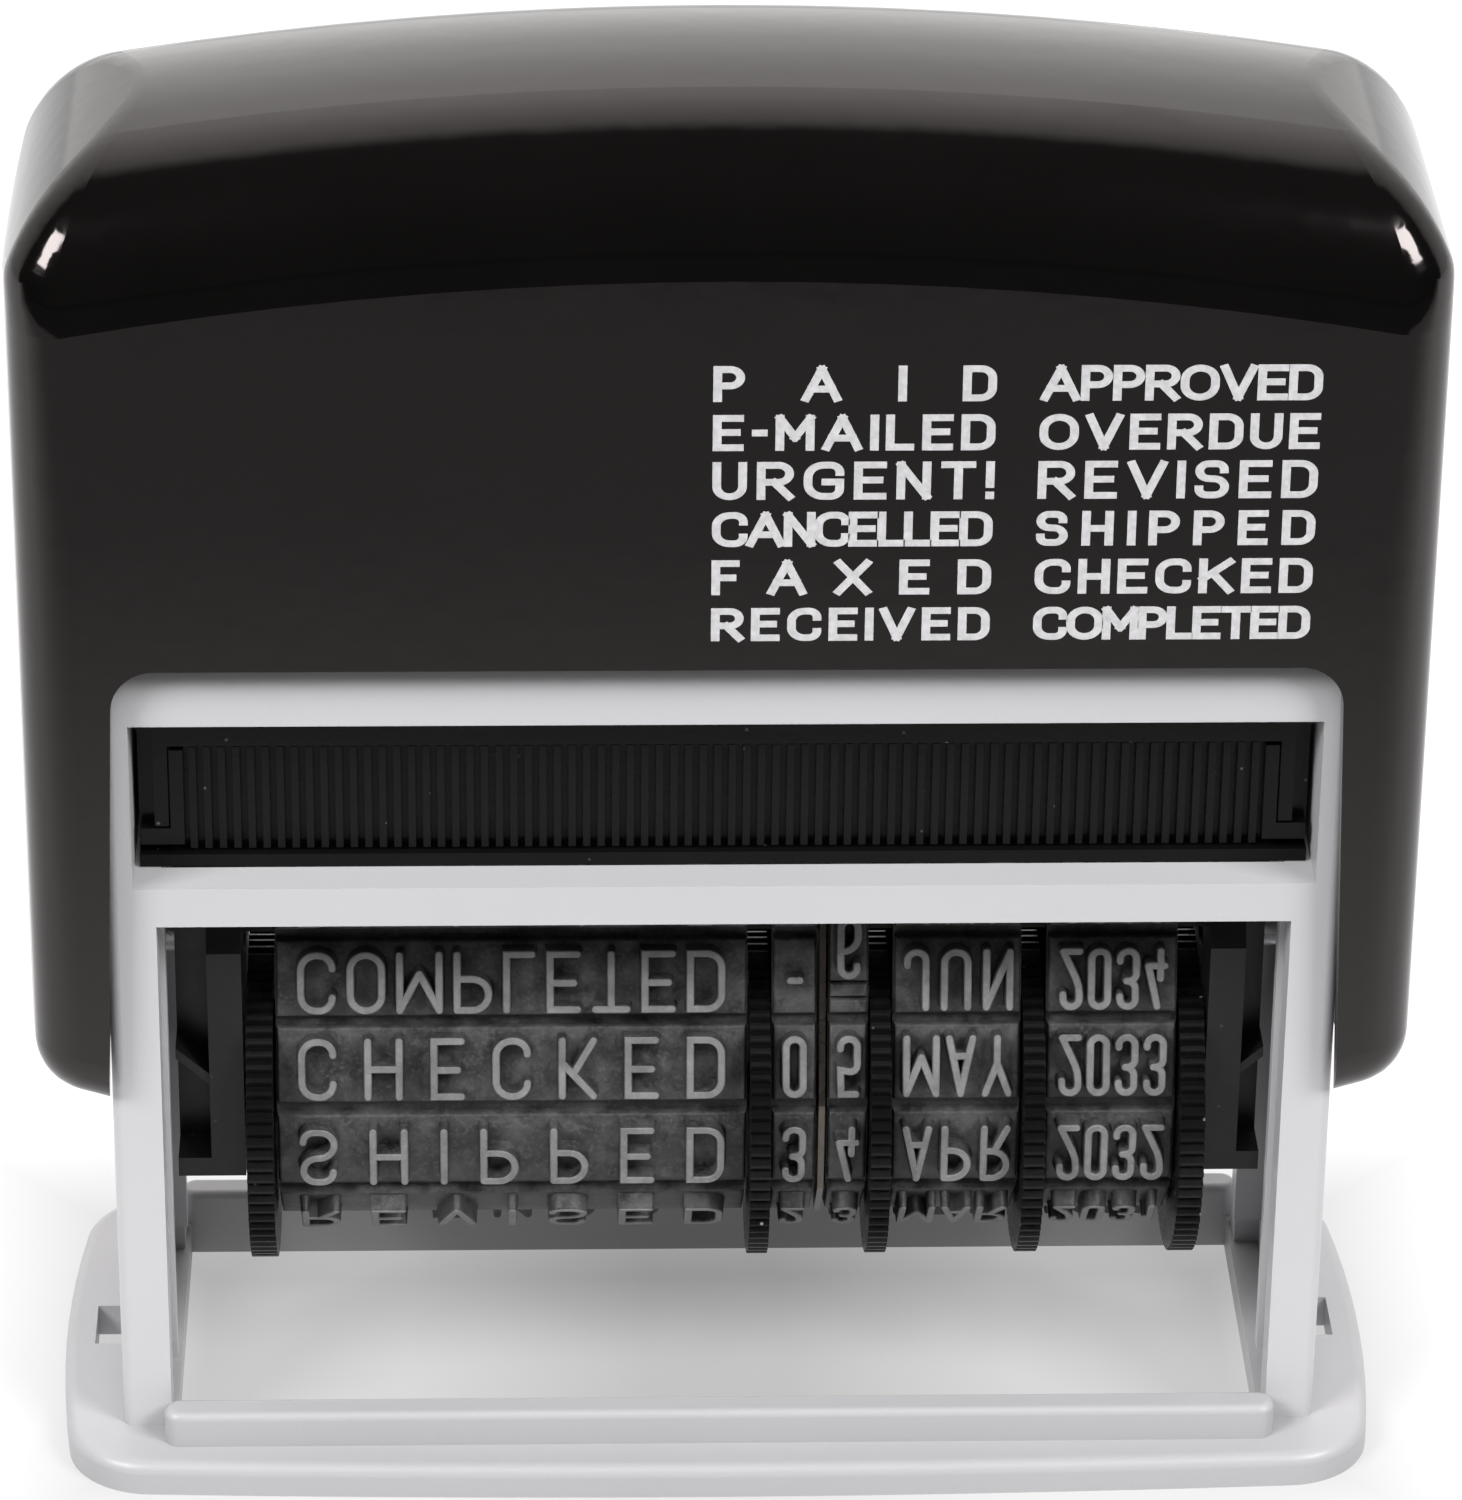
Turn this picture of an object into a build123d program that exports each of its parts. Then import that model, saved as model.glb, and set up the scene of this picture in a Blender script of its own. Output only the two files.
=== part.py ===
from build123d import *
import math
import os

# Self-inking message and date stamp, in millimetres.
# X runs to the right, Y away from the user and Z up. The origin is the middle of the underside.
# At rest the housing is up and the type carrier holds its printing face against the ink pad.
# Pressing the housing lowers the carrier's trunnions and turns the carrier over to face the paper.

# ---- Type bands ----
TYPE_PITCH = 5.12                # from one line of type to the next, along a band
BLOCK_LENGTH = 4.45              # one type block, along the band
BAND_INSIDE = -0.5               # heights measured outwards from the band's neutral line
BAND_OUTSIDE = 0.0
BLOCK_TOP = 0.6
TYPE_RELIEF = 1.0                # the characters stand this far out of a block
WHEEL_APOTHEM = TYPE_PITCH / 2 / math.tan(math.radians(22.5))
LEANING_BLOCKS = 3               # lines of type on each leaning side of the band
LEAN_WIDTH = WHEEL_APOTHEM - TYPE_PITCH / 2
LEAN_HEIGHT = math.sqrt((LEANING_BLOCKS * TYPE_PITCH) ** 2 - LEAN_WIDTH ** 2)
FACE_RISE = TYPE_PITCH / 2 + LEAN_HEIGHT    # from the wheel axle up to the printing face's neutral line

# ---- Carrier, wheels and stroke ----
WHEEL_Z = 18.1
TRUNNION_Z = 29.05
PRINT_FACE_Z = WHEEL_Z + FACE_RISE + BLOCK_TOP + TYPE_RELIEF
PAPER_GAP = 0.02
# The housing travels this far while the carrier turns through 180 degrees and meets the paper.
STROKE = 2 * TRUNNION_Z - PRINT_FACE_Z - PAPER_GAP
DISC_RADIUS = 9.7
KNURL_TEETH = 80
KNURL_DEPTH = 0.3
HUB_RADIUS = 5.2
AXLE_RADIUS = 1.4
AXLE_CLEARANCE = 0.05
TRUNNION_RADIUS = 1.5
CAM_PIN_RADIUS = 1.0
CAM_PIN_OFFSET = 4.2             # behind the trunnion, at rest
TRACK_CLEARANCE = 0.25
PLATE_LEFT = (-31.0, -27.15)
PLATE_RIGHT = (27.7, 31.0)
PLATE_BOTTOM = 15.9
PLATE_SHOULDER = 30.5
PLATE_TOP = 36.3
PLATE_RIB_Z = 23.0               # height of the slanting rib in each recess
PLATE_RIB_SLOPE = 42             # its fall towards the wheels, degrees

# Each wheel: its name, its disc's two sides and the far end of its hub.
WHEELS = (
    ("message_wheel", -26.95, -25.45, 1.5),
    ("day_tens_wheel", 1.65, 2.8, 5.45),
    ("day_ones_wheel", 8.5, 9.65, 6.1),
    ("month_wheel", 17.2, 18.4, 9.8),
    ("year_wheel", 26.1, 27.5, 18.55),
)
# Each band: its name and its two edges.
BANDS = (
    ("message_band", -25.3, 1.5),
    ("day_tens_band", 2.9, 5.45),
    ("day_ones_band", 6.1, 8.4),
    ("month_band", 9.8, 17.1),
    ("year_band", 18.55, 26.0),
)
SEPARATOR = (5.6, 5.95)

# ---- Inner frame ----
FRAME_X = 34.35
FRAME_Y = 10.84
FRAME_TOP = 52.3
FRAME_TOP_ROUND = 2.6
FRAME_EDGE = 0.7
DECK = (47.55, 49.2)
POST_X = 31.56                   # inner edge of the four corner posts
POST_DEPTH = 2.5
SIDE_WALL_X = 33.0
BAR_Z = (35.0, 37.4)             # middle bar, between the dial window and the ink window
INK_WINDOW_X = 32.8
RIM_WALL = 2.8
RAIL_X = 31.3                    # inner edge of the cartridge's runners
RAIL_DROP = 1.6
GUARD_Y = (6.6, 7.6)             # upright ribs on the side walls, beside the carrier
GUARD_BOTTOM = 4.6
SPRING_POST_RADIUS = 3.4
SPRING_POST_TOP = 56.5
PEG_RADIUS = 0.8                 # pegs under the posts, pressed into the base plate
PEG_PLACE = (32.95, 9.4)
PEG_LENGTH = 1.4

# ---- Base plate ----
BASE_X = 38.2
BASE_Y = 15.6
BASE_BOW = 0.9                   # how far the long edges swell at the middle
BASE_SIDE_BOW = 1.3
BASE_CORNER = 5.0
BASE_THICKNESS = 2.0
BASE_EDGE = 0.7
PRINT_WINDOW = (31.3, 11.15)     # half width and half depth
BAR_X = 31.9
BAR_Y = (11.15, 13.05)
BAR_TOP = 4.15
BAR_END = 0.9
BAR_EDGE = 0.45
SNAP_HOLE_X = (34.6, 36.45)
SNAP_HOLE_Y = 2.05

# ---- Housing ----
CAP_X = 38.05                    # half width at the front and rear faces
CAP_BOW = 1.1                    # how far each side swells at its middle
CAP_Y = 12.4
CAP_CROWN = 83.55
CAP_ARCH_RADIUS = 208.0          # of the crown, across the cap
CAP_DOME_RADIUS = 30.0           # of the crown, from front to rear
CAP_LIFT = 0.2                   # the shoulders meet the arch this far above it
CAP_CORNER = 11.5
CAP_TOP_FILLET = 8.4
CAP_WALL = 1.8
CAP_FACE_WALL = 1.3
CAP_EDGE = 3.0
LEG_BOTTOM = 24.0
LEG_RISE = 1.0
LEG_CORNER = 3.4
LEG_INNER = 34.5                 # inner edge of each leg at its foot
CUTOUT_X = 33.5                  # half width of the cut-out at its top
CUTOUT_TOP = 51.7
CUTOUT_CORNER = 2.4
SPRING_SOCKET = 6.0

# ---- Ink cartridge ----
INK_X = 32.5
INK_Y = 8.3
INK_Z = (37.45, 46.9)
INK_PANEL_Z = (38.2, 46.0)
INK_RECESS = 0.9                 # depth of the front's recessed panel
RIB_PITCH = 0.807
RIB_COUNT = 74
RIB_Z = (38.45, 44.8)
PAD_X = 30.4
PAD_Y = 6.4
PAD_Z = (37.5, 42.0)
# Raised strips at each end of the ribs: near and far edge in X, then low and high edge in Z.
INK_STRIPS = (
    (30.82, 31.6, 40.0, 45.5),
    (29.97, 30.72, 38.85, 44.75),
    (29.97, 32.4, 38.85, 39.85),
)

# ---- Press spring ----
SPRING_RADIUS = 4.9
SPRING_WIRE = 0.9
SPRING_TURNS = 7


def block(x, y, z):
    """A box given by its two limits along each axis."""
    size = [high - low for low, high in (x, y, z)]
    middle = [(high + low) / 2 for low, high in (x, y, z)]
    return Pos(*middle) * Box(*size)


def rod(x0, x1, y, z, radius):
    """A round rod along X."""
    return Plane((x0, y, z), x_dir=(0, 1, 0), z_dir=(1, 0, 0)) * extrude(Circle(radius), x1 - x0)


def along_x(sketch, x0, x1):
    """A sketch drawn in Y and Z, extruded from x0 to x1."""
    return Pos(x0, 0, 0) * extrude(Plane.YZ * sketch, x1 - x0)


def slot(x, ends, radius):
    """A vertical slot through a side wall, from one pin height to the other."""
    low, high = sorted(ends)
    return block(x, (-radius, radius), (low, high)) + rod(*x, 0, low, radius) + rod(*x, 0, high, radius)


# ---- Type band outline ----
def band_corners(height):
    """Corners of the band's path at a height above its neutral line, as (Y, Z) pairs.

    The path runs round half of an octagonal hub, up two leaning sides and over the printing face.
    """
    half = TYPE_PITCH / 2
    neutral = [
        (half, -WHEEL_APOTHEM),
        (WHEEL_APOTHEM, -half),
        (WHEEL_APOTHEM, half),
        (half, FACE_RISE),
    ]
    loop = neutral + [(-y, z) for y, z in reversed(neutral)]
    corners = []
    for here, (y, z) in enumerate(loop):
        before = loop[here - 1]
        after = loop[(here + 1) % len(loop)]
        first = side_normal(before, (y, z))
        second = side_normal((y, z), after)
        spread = 1 + first[0] * second[0] + first[1] * second[1]
        corners.append((
            y + height * (first[0] + second[0]) / spread,
            z + height * (first[1] + second[1]) / spread + WHEEL_Z,
        ))
    return corners


def side_normal(start, end):
    """Outward unit normal of one side of the path."""
    dy, dz = end[0] - start[0], end[1] - start[1]
    length = math.hypot(dy, dz)
    return dz / length, -dy / length


def band_seats():
    """Middle point and outward angle in degrees of each type block, as (Y, Z, angle)."""
    corners = band_corners(0)
    seats = []
    for here, start in enumerate(corners):
        end = corners[(here + 1) % len(corners)]
        length = math.dist(start, end)
        count = round(length / TYPE_PITCH)
        normal = side_normal(start, end)
        angle = math.degrees(math.atan2(normal[1], normal[0]))
        for step in range(count):
            share = (step + 0.5) / count
            seats.append((
                start[0] + share * (end[0] - start[0]),
                start[1] + share * (end[1] - start[1]),
                angle,
            ))
    return seats


def type_band(x0, x1):
    """A moulded rubber band: a thin closed loop with a raised block for each line of type."""
    loop = Polygon(*band_corners(BAND_OUTSIDE), align=None)
    loop -= Polygon(*band_corners(BAND_INSIDE), align=None)
    for y, z, angle in band_seats():
        base = BAND_INSIDE / 2
        pad = Pos((BLOCK_TOP + base) / 2, 0) * Rectangle(BLOCK_TOP - base, BLOCK_LENGTH)
        loop += Pos(y, z) * Rot(0, 0, angle) * pad
    return along_x(loop, x0, x1)


def separator():
    """Thin plate that keeps the two day bands apart. It follows the bands, just below their type."""
    outline = Polygon(*band_corners(BLOCK_TOP), align=None)
    outline -= Pos(0, WHEEL_Z) * Circle(AXLE_RADIUS)
    return along_x(outline, *SEPARATOR) - print_bridge()


# ---- Setting wheels ----
def setting_wheel(disc_start, disc_end, hub_end):
    """A knurled disc with a round hub that carries a band."""
    disc = Circle(DISC_RADIUS)
    tooth = Pos(DISC_RADIUS, 0) * Rot(0, 0, 45) * Rectangle(KNURL_DEPTH * 1.4, KNURL_DEPTH * 1.4)
    disc -= PolarLocations(0, KNURL_TEETH) * tooth
    hub_start, hub_stop = sorted((disc_end if hub_end > disc_end else disc_start, hub_end))
    wheel = Pos(disc_start, 0, WHEEL_Z) * extrude(Plane.YZ * disc, disc_end - disc_start)
    wheel += rod(hub_start, hub_stop, 0, WHEEL_Z, HUB_RADIUS)
    low = min(disc_start, hub_start)
    high = max(disc_end, hub_stop)
    return wheel - rod(low - 1, high + 1, 0, WHEEL_Z, AXLE_RADIUS + AXLE_CLEARANCE)


# ---- Carrier ----
def end_plate(x0, x1, outer):
    """Moulded end of the carrier: a flange beside the wheels and a ribbed recess on the outer half.

    outer is -1 on the left and +1 on the right. The rear recess stops below the cam pin.
    """
    foot_y, head_y, core_y = 6.0, 3.2, 3.4
    outline = Polygon(
        (-foot_y, PLATE_BOTTOM), (foot_y, PLATE_BOTTOM), (foot_y, PLATE_SHOULDER),
        (head_y, PLATE_TOP), (-head_y, PLATE_TOP), (-foot_y, PLATE_SHOULDER), align=None,
    )
    full = along_x(outline, x0, x1)
    edge, split = (x1, x1 - 1.3) if outer > 0 else (x0, x0 + 1.9)
    plate = full
    for side, recess_top in ((-1, PLATE_TOP - 2.4), (1, TRUNNION_Z - 2.6)):
        recess = block(sorted((split, edge + outer)), sorted((side * core_y, side * (foot_y + 1))),
                       (PLATE_BOTTOM + 1.2, recess_top))
        plate -= recess
        rib = Pos((split + edge) / 2, side * (core_y + 1.1), PLATE_RIB_Z)
        rib *= Rot(0, outer * -PLATE_RIB_SLOPE, 0) * Box(5.0, 2.4, 0.5)
        plate += rib & recess & full
    plate -= rod(x0 - 1, x1 + 1, 0, WHEEL_Z, AXLE_RADIUS)
    return plate - rod(x0 - 1, x1 + 1, 0, TRUNNION_Z, TRUNNION_RADIUS) - cam_pin(x0 - 1, x1 + 1)


def cam_pin(x0, x1):
    return rod(x0, x1, CAM_PIN_OFFSET, TRUNNION_Z, CAM_PIN_RADIUS)


def print_bridge():
    """Platen bar under the bands: it backs the printing face and ties the end plates together."""
    top = WHEEL_Z + FACE_RISE + BAND_INSIDE - 0.05
    half = TYPE_PITCH / 2 - 0.6
    foot_z = WHEEL_Z + DISC_RADIUS + 2.4
    outline = Polygon((-2.9, foot_z), (2.9, foot_z), (half, top), (-half, top), align=None)
    return along_x(outline, PLATE_LEFT[1], PLATE_RIGHT[0])


# ---- Inner frame ----
def cam_track(x):
    """Slot that the carrier's cam pin follows as the housing goes down and the carrier turns over."""
    steps = 16
    points = []
    for step in range(steps + 1):
        turn = math.pi * step / steps
        y = CAM_PIN_OFFSET * math.cos(turn)
        z = TRUNNION_Z - STROKE * step / steps - CAM_PIN_OFFSET * math.sin(turn)
        points.append((y, z))
    radius = CAM_PIN_RADIUS + TRACK_CLEARANCE
    track = trace(Spline(*points), line_width=2 * radius)
    for end in (points[0], points[-1]):
        track += Pos(*end) * Circle(radius)
    return along_x(track, *x)


def inner_frame():
    """Grey frame: four posts, slotted side walls, the middle bars, the deck and the upper rim."""
    body = block((-FRAME_X, FRAME_X), (-FRAME_Y, FRAME_Y), (BASE_THICKNESS, FRAME_TOP))
    body = fillet(body.edges().filter_by(Axis.X).group_by(Axis.Z)[-1], FRAME_TOP_ROUND)
    body = fillet(body.edges().filter_by(Axis.Z), FRAME_EDGE)
    inside = FRAME_Y - POST_DEPTH
    body -= block((-FRAME_X + RIM_WALL, FRAME_X - RIM_WALL), (-FRAME_Y + RIM_WALL, FRAME_Y - RIM_WALL),
                  (DECK[1], FRAME_TOP + 1))
    body -= block((-POST_X, POST_X), (-FRAME_Y - 1, FRAME_Y + 1), (0, BAR_Z[0]))
    body -= block((-INK_WINDOW_X, INK_WINDOW_X), (-FRAME_Y - 1, FRAME_Y + 1), (BAR_Z[1], DECK[0]))
    body -= block((-RAIL_X, RAIL_X), (-inside, inside), (BAR_Z[0] - 1, BAR_Z[1] + 1))
    for side in (-1, 1):
        hollow = sorted((side * SIDE_WALL_X, side * (POST_X - 1)))
        body -= block(hollow, (-inside, inside), (BASE_THICKNESS, BAR_Z[1] - RAIL_DROP))
        guard_x = sorted((side * RAIL_X, side * (SIDE_WALL_X + 0.1)))
        for end in (-1, 1):
            guard_y = sorted(end * value for value in GUARD_Y)
            body += block(guard_x, guard_y, (GUARD_BOTTOM, BAR_Z[1] - RAIL_DROP))
            peg = Pos(side * PEG_PLACE[0], end * PEG_PLACE[1], BASE_THICKNESS - PEG_LENGTH)
            body += peg * extrude(Circle(PEG_RADIUS), PEG_LENGTH + 0.2)
        wall = sorted((side * (POST_X - 1), side * (FRAME_X + 1)))
        body -= slot(wall, (TRUNNION_Z - STROKE, TRUNNION_Z), TRUNNION_RADIUS + TRACK_CLEARANCE)
        body -= cam_track(wall)
    post = Pos(0, 0, DECK[1]) * extrude(Circle(SPRING_POST_RADIUS), SPRING_POST_TOP - DECK[1])
    return body + post


# ---- Base plate ----
def base_plate():
    """Foot with two wings, an open printing window, a front and a rear bar and two snap holes."""
    x, y = BASE_X - BASE_SIDE_BOW, BASE_Y - BASE_BOW
    edge = [
        ThreePointArc((-x, -y), (0, -BASE_Y), (x, -y)),
        ThreePointArc((x, -y), (BASE_X, 0), (x, y)),
        ThreePointArc((x, y), (0, BASE_Y), (-x, y)),
        ThreePointArc((-x, y), (-BASE_X, 0), (-x, -y)),
    ]
    outline = make_face(Wire(edge))
    outline = fillet(outline.vertices(), BASE_CORNER)
    plate = extrude(outline, BASE_THICKNESS)
    rim = plate.faces().sort_by(Axis.Z)[-1].edges()
    plate = fillet(rim, BASE_EDGE)
    for side in (-1, 1):
        bar_y = sorted(side * value for value in BAR_Y)
        bar = block((-BAR_X, BAR_X), bar_y, (BASE_THICKNESS - 1, BAR_TOP))
        bar = fillet(bar.edges().filter_by(Axis.Z), BAR_END)
        bar = fillet(bar.faces().sort_by(Axis.Z)[-1].edges(), BAR_EDGE)
        plate += bar
    window_x, window_y = PRINT_WINDOW
    plate -= block((-window_x, window_x), (-window_y, window_y), (-1, BAR_TOP + 1))
    for side in (-1, 1):
        for end in (-1, 1):
            socket = Pos(side * PEG_PLACE[0], end * PEG_PLACE[1], BASE_THICKNESS - PEG_LENGTH)
            plate -= socket * extrude(Circle(PEG_RADIUS), PEG_LENGTH + 1)
    for side in (-1, 1):
        hole = sorted(side * value for value in SNAP_HOLE_X)
        plate -= block(hole, (-SNAP_HOLE_Y, SNAP_HOLE_Y), (-1, BASE_THICKNESS + 1))
    return plate


# ---- Housing ----
def arch_z(x, crown, radius):
    return crown - radius + math.sqrt(radius * radius - x * x)


def cap_blank(inset_side, inset_face, inset_top, foot):
    """Arched block with bowed sides: round shoulders, under a domed top with rounded long edges."""
    x, half_depth = CAP_X - inset_side, CAP_Y - inset_face
    crown, radius = CAP_CROWN - inset_top, CAP_ARCH_RADIUS - inset_top
    reach = x + CAP_BOW + 0.15
    eave = arch_z(reach, crown, radius) + CAP_LIFT
    sides = Polyline((-reach, eave), (-reach, foot), (reach, foot), (reach, eave))
    top = ThreePointArc((-reach, eave), (0, crown + CAP_LIFT), (reach, eave))
    outline = make_face(Wire([*sides.edges(), *top.edges()]))
    outline = fillet(outline.vertices().sort_by(Axis.Y)[-2:], CAP_CORNER - inset_side)
    front = extrude(Plane.XZ * outline, half_depth, both=True)
    return front & dome(half_depth, crown, radius, inset_top) & plan(x, half_depth, foot)


def dome(half_depth, crown, radius, inset):
    """Form of the top: a domed section swung along the arch."""
    dome_radius = CAP_DOME_RADIUS - inset
    sag = dome_radius - math.sqrt(dome_radius ** 2 - half_depth ** 2)
    low = 120 - radius
    walls = Polyline((half_depth, -sag), (half_depth, low), (-half_depth, low), (-half_depth, -sag))
    arc = ThreePointArc((-half_depth, -sag), (0, 0), (half_depth, -sag))
    section = make_face(Wire([*walls.edges(), *arc.edges()]))
    section = fillet(section.vertices().sort_by(Axis.Y)[-2:], CAP_TOP_FILLET - inset)
    section = Pos(0, 0, crown) * (Plane.YZ * section)
    hinge = Axis((0, 0, crown - radius), (0, 1, 0))
    sector = 44.0
    form = revolve(section, axis=hinge, revolution_arc=sector)
    return form.rotate(hinge, -sector / 2)


def plan(x, half_depth, foot):
    """Form of the sides: the cap seen from above, with both sides bowed."""
    y = half_depth + 1
    edges = [
        Line((-x, y), (x, y)), ThreePointArc((x, y), (x + CAP_BOW, 0), (x, -y)),
        Line((x, -y), (-x, -y)), ThreePointArc((-x, -y), (-x - CAP_BOW, 0), (-x, y)),
    ]
    outline = make_face(Wire([edge for line in edges for edge in line.edges()]))
    return extrude(Pos(0, 0, foot - 1) * outline, CAP_CROWN)


def housing():
    """Glossy press-down cap with a leg down each side and a socket for the spring."""
    cap = cap_blank(0, 0, 0, LEG_BOTTOM)
    ramp_start, far = LEG_INNER + 0.8, CAP_X + CAP_BOW + 1
    for side in (-1, 1):
        ramp = Polygon(
            (side * ramp_start, LEG_BOTTOM), (side * far, LEG_BOTTOM + 1.5 * LEG_RISE),
            (side * far, LEG_BOTTOM - 2), (side * ramp_start, LEG_BOTTOM - 2), align=None,
        )
        cap -= extrude(Plane.XZ * ramp, CAP_Y + 1, both=True)
    corners = [
        edge for edge in cap.edges()
        if abs(edge.center().X) > CAP_X and abs(edge.center().Y) < 1 and edge.center().Z < LEG_BOTTOM + 3
    ]
    cap = fillet(corners, LEG_CORNER)
    cutout = Polygon(
        (-LEG_INNER, LEG_BOTTOM - 2), (LEG_INNER, LEG_BOTTOM - 2), (CUTOUT_X, CUTOUT_TOP),
        (-CUTOUT_X, CUTOUT_TOP), align=None,
    )
    cutout = fillet(cutout.vertices().sort_by(Axis.Y)[-2:], CUTOUT_CORNER)
    cap -= extrude(Plane.XZ * cutout, CAP_Y + 1, both=True)
    cap = soften(cap) - cap_blank(CAP_WALL, CAP_FACE_WALL, CAP_WALL, LEG_BOTTOM - 5)
    ceiling = CAP_CROWN - CAP_WALL
    socket = extrude(Circle(SPRING_RADIUS + 2.4) - Circle(SPRING_RADIUS + 1.0), SPRING_SOCKET + 0.5)
    cap += Pos(0, 0, ceiling - SPRING_SOCKET) * socket
    for side in (-1, 1):
        inner, outer = LEG_INNER + 0.1, CAP_X + CAP_BOW - CAP_WALL + 0.3
        x0, x1 = sorted((side * inner, side * outer))
        cap += rod(x0, x1, 0, TRUNNION_Z, 3.4)
        for rib_y in (-8.0, 8.0):
            cap += block((x0, x1), (rib_y - 0.6, rib_y + 0.6), (LEG_BOTTOM + 3, CUTOUT_TOP))
        bore = sorted((side * (inner - 1), side * (outer - 0.9)))
        cap -= rod(*bore, 0, TRUNNION_Z, TRUNNION_RADIUS + AXLE_CLEARANCE)
    return cap


def soften(cap):
    """Round the cap's outer edges on its front and rear faces and across its shoulders."""
    outline = [
        edge for edge in cap.edges()
        if abs(edge.center().Y) > CAP_Y - CAP_TOP_FILLET - 0.5
        and abs(edge.center().X) > LEG_INNER + 0.6
    ]
    shoulders = [
        edge for edge in cap.edges()
        if abs(edge.center().Y) < 0.1 and abs(edge.center().X) > 20
        and edge.center().Z > 60 and edge.length < 2.2 * CAP_Y
    ]
    return fillet(outline + shoulders, CAP_EDGE)


# ---- Ink cartridge ----
def ink_cartridge():
    """Drawer with a ribbed front. It is open underneath, where the ink pad sits."""
    tray = block((-INK_X, INK_X), (-INK_Y, INK_Y), INK_Z)
    tray -= block((-PAD_X - 0.3, PAD_X + 0.3), (-PAD_Y - 0.3, PAD_Y + 0.3), (INK_Z[0] - 1, PAD_Z[1]))
    tray -= block((-INK_X - 1, INK_X + 1), (-INK_Y - 1, -INK_Y + INK_RECESS), INK_PANEL_Z)
    raised = (-INK_Y, -INK_Y + INK_RECESS + 0.1)
    rib_depth = (-INK_Y + 0.3, -INK_Y + INK_RECESS + 0.1)
    top_strip = (RIB_Z[1] + 0.2, INK_PANEL_Z[1] + 0.1)
    tray += block((-INK_STRIPS[0][1], INK_STRIPS[0][1]), raised, top_strip)
    for side in (-1, 1):
        for near, far, low, high in INK_STRIPS:
            x = sorted((side * near, side * far))
            tray += block(x, raised, (low, high))
    first = -RIB_PITCH * (RIB_COUNT - 1) / 2
    width = RIB_PITCH * 0.5
    ribs = [
        Pos(first + index * RIB_PITCH, 0, 0) * block((-width / 2, width / 2), rib_depth, RIB_Z)
        for index in range(RIB_COUNT)
    ]
    return tray + ribs


# ---- Press spring ----
def press_spring():
    """Coil spring between the frame's deck and the top of the housing."""
    bottom = DECK[1] + SPRING_WIRE / 2 + 0.05
    top = CAP_CROWN - CAP_WALL - SPRING_WIRE / 2 - 0.15
    path = Helix(pitch=(top - bottom) / SPRING_TURNS, height=top - bottom, radius=SPRING_RADIUS)
    section = Plane(origin=path @ 0, z_dir=path % 0) * Circle(SPRING_WIRE / 2)
    return Pos(0, 0, bottom) * sweep(section, path=path, is_frenet=True)


parts = {
    "base_plate": base_plate(),
    "inner_frame": inner_frame(),
    "housing": housing(),
    "ink_cartridge": ink_cartridge(),
    "ink_pad": block((-PAD_X, PAD_X), (-PAD_Y, PAD_Y), PAD_Z),
    "press_spring": press_spring(),
    "left_end_plate": end_plate(*PLATE_LEFT, -1),
    "right_end_plate": end_plate(*PLATE_RIGHT, 1),
    "print_bridge": print_bridge(),
    "wheel_axle": rod(PLATE_LEFT[0] + 0.2, PLATE_RIGHT[1] - 0.2, 0, WHEEL_Z, AXLE_RADIUS),
    "left_trunnion": rod(-36.6, PLATE_LEFT[1] - 0.2, 0, TRUNNION_Z, TRUNNION_RADIUS),
    "right_trunnion": rod(PLATE_RIGHT[0] + 0.2, 36.6, 0, TRUNNION_Z, TRUNNION_RADIUS),
    "left_cam_pin": cam_pin(-34.0, PLATE_LEFT[1] - 0.2),
    "right_cam_pin": cam_pin(PLATE_RIGHT[0] + 0.2, 34.0),
    "day_separator": separator(),
}
for name, start, end in BANDS:
    parts[name] = type_band(start, end)
for name, disc_start, disc_end, hub_end in WHEELS:
    parts[name] = setting_wheel(disc_start, disc_end, hub_end)

os.makedirs("parts", exist_ok=True)
for name, shape in parts.items():
    export_step(shape, f"parts/{name}.step")
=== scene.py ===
import math

import bpy
import numpy as np
from mathutils import Matrix, Vector

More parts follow.
